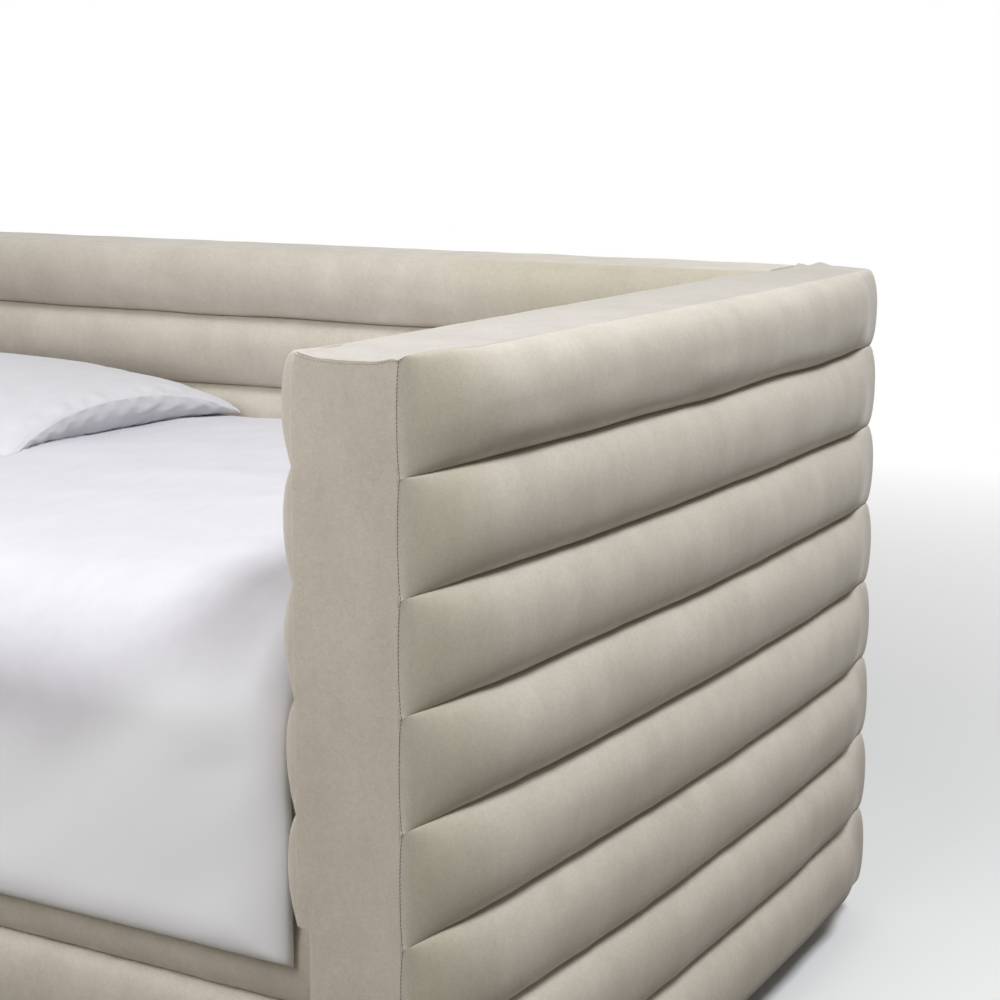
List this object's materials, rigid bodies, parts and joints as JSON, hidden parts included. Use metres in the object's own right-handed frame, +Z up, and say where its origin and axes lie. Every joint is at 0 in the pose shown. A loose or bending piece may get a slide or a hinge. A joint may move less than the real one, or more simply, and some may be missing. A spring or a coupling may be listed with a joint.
{
  "type": "daybed",
  "caption": "Upholstered daybed with horizontally channelled arms and back, padded front rail, slatted base, mattress, duvet and pillow.",
  "frame": {"origin": "on the floor, in the middle of the footprint", "axes": "+X along the length to the right arm, +Y to the back, +Z up"},
  "size_m": [2.227, 1.1584, 0.873],
  "materials": {
    "upholstery": "soft brushed velour, warm grey-beige",
    "bed_linen": "washed white cotton",
    "ticking": "off-white woven ticking",
    "dust_cloth": "thin black non-woven cloth",
    "webbing": "black woven webbing",
    "timber": "planed softwood, unfinished",
    "hardboard": "smooth fibre board",
    "foot_plastic": "black moulded plastic",
    "zinc_steel": "zinc-plated steel"
  },
  "bodies": {
    "frame": {"right_arm_posts": "timber", "right_arm_rails": "timber", "right_arm_outer_board": "hardboard", "right_arm_inner_board": "hardboard", "right_arm_outer_channels": "upholstery", "right_arm_inner_channels": "upholstery", "right_arm_top_panel": "upholstery", "right_arm_front_panel": "upholstery", "right_arm_rear_channels": "upholstery", "left_arm_posts": "timber", "left_arm_rails": "timber", "left_arm_outer_board": "hardboard", "left_arm_inner_board": "hardboard", "left_arm_outer_channels": "upholstery", "left_arm_inner_channels": "upholstery", "left_arm_top_panel": "upholstery", "left_arm_front_panel": "upholstery", "left_arm_rear_channels": "upholstery", "back_frame_posts": "timber", "back_frame_rails": "timber", "back_outer_board": "hardboard", "back_inner_board": "hardboard", "back_outer_channels": "upholstery", "back_inner_channels": "upholstery", "back_top_panel": "upholstery", "front_rail_board": "timber", "front_rail_channels": "upholstery", "front_rail_strip": "upholstery", "front_cleat": "timber", "rear_cleat": "timber", "centre_beam": "timber", "slat_straps": "webbing", "right_centre_leg": "timber", "left_centre_leg": "timber", "front_right_foot": "foot_plastic", "rear_right_foot": "foot_plastic", "front_left_foot": "foot_plastic", "rear_left_foot": "foot_plastic", "corner_brackets": "zinc_steel", "bracket_screws": "zinc_steel", "frame_bolts": "zinc_steel", "bolt_sleeves": "zinc_steel", "dust_covers": "dust_cloth", "slat_01": "timber", "slat_02": "timber", "slat_03": "timber", "slat_04": "timber", "slat_05": "timber", "slat_06": "timber", "slat_07": "timber", "slat_08": "timber", "slat_09": "timber", "slat_10": "timber", "slat_11": "timber", "slat_12": "timber"},
    "right_leveller": {"right_levelling_foot": "foot_plastic"},
    "left_leveller": {"left_levelling_foot": "foot_plastic"},
    "bedding": {"mattress": "ticking", "duvet": "bed_linen"},
    "pillow_body": {"pillow": "bed_linen"}
  },
  "joints": [
    {"name": "right_foot_screw", "type": "slide", "parent": "frame", "child": "right_leveller", "axis": [0, 0, -1], "range_m": [0, 0.012]},
    {"name": "left_foot_screw", "type": "slide", "parent": "frame", "child": "left_leveller", "axis": [0, 0, -1], "range_m": [0, 0.012]},
    {"name": "bedding_lift", "type": "slide", "parent": "frame", "child": "bedding", "axis": [0, 0, 1], "range_m": [0, 0.52]},
    {"name": "pillow_lift", "type": "slide", "parent": "bedding", "child": "pillow_body", "axis": [0, 0, 1], "range_m": [0, 0.25]}
  ]
}
